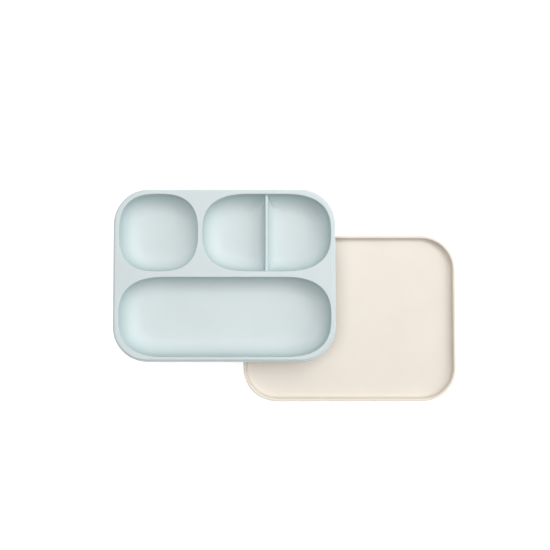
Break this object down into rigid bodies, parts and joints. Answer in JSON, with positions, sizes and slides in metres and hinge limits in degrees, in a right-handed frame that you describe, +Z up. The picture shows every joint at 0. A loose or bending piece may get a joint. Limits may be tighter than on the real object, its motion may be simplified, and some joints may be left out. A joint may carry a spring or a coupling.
{
  "type": "divided suction tray with lid",
  "caption": "Shallow rectangular silicone feeding tray with wells of three shapes, a low divider, plug-in suction cups with release tabs, and a skirted lid.",
  "frame": {"origin": "on the table, under the middle of the tray and lid taken together", "axes": "+X along the tray's length towards the lid's free end, +Y towards the tray's rear wells, +Z up"},
  "size_m": [0.38, 0.2354, 0.039],
  "materials": {
    "tray_silicone": "matte pale blue-grey silicone",
    "cup_silicone": "satin pale blue-grey silicone",
    "lid_silicone": "matte cream silicone"
  },
  "bodies": {
    "lid": {"lid": "lid_silicone"},
    "tray": {"tray_body": "tray_silicone"},
    "cup_rear_left": {"suction_cup_rear_left": "cup_silicone"},
    "tab_rear_left": {"release_tab_rear_left": "cup_silicone"},
    "cup_rear_right": {"suction_cup_rear_right": "cup_silicone"},
    "tab_rear_right": {"release_tab_rear_right": "cup_silicone"},
    "cup_front_left": {"suction_cup_front_left": "cup_silicone"},
    "tab_front_left": {"release_tab_front_left": "cup_silicone"},
    "cup_front_right": {"suction_cup_front_right": "cup_silicone"},
    "tab_front_right": {"release_tab_front_right": "cup_silicone"}
  },
  "joints": [
    {"name": "tray_lift", "type": "slide", "parent": "lid", "child": "tray", "axis": [0, 0, 1], "range_m": [0, 0.1]},
    {"name": "cup_press_rear_left", "type": "slide", "parent": "tray", "child": "cup_rear_left", "axis": [0, 0, 1], "range_m": [0, 0.003], "stiffness_N_per_m": 2500},
    {"name": "tab_pull_rear_left", "type": "hinge", "parent": "cup_rear_left", "child": "tab_rear_left", "pos_m": [-0.16172, 0.10262, 0.0007], "axis": [0.7071, 0.7071, 0], "range_deg": [0, 60], "stiffness_Nm_per_rad": 0.003},
    {"name": "cup_press_rear_right", "type": "slide", "parent": "tray", "child": "cup_rear_right", "axis": [0, 0, 1], "range_m": [0, 0.003], "stiffness_N_per_m": 2500},
    {"name": "tab_pull_rear_right", "type": "hinge", "parent": "cup_rear_right", "child": "tab_rear_right", "pos_m": [0.02172, 0.10262, 0.0007], "axis": [0.7071, -0.7071, 0], "range_deg": [0, 60], "stiffness_Nm_per_rad": 0.003},
    {"name": "cup_press_front_left", "type": "slide", "parent": "tray", "child": "cup_front_left", "axis": [0, 0, 1], "range_m": [0, 0.003], "stiffness_N_per_m": 2500},
    {"name": "tab_pull_front_left", "type": "hinge", "parent": "cup_front_left", "child": "tab_front_left", "pos_m": [-0.16172, -0.05382, 0.0007], "axis": [-0.7071, 0.7071, 0], "range_deg": [0, 60], "stiffness_Nm_per_rad": 0.003},
    {"name": "cup_press_front_right", "type": "slide", "parent": "tray", "child": "cup_front_right", "axis": [0, 0, 1], "range_m": [0, 0.001], "stiffness_N_per_m": 2500},
    {"name": "tab_pull_front_right", "type": "hinge", "parent": "cup_front_right", "child": "tab_front_right", "pos_m": [0.02172, -0.05382, 0.0027], "axis": [-0.7071, -0.7071, 0], "range_deg": [0, 60], "stiffness_Nm_per_rad": 0.003}
  ]
}
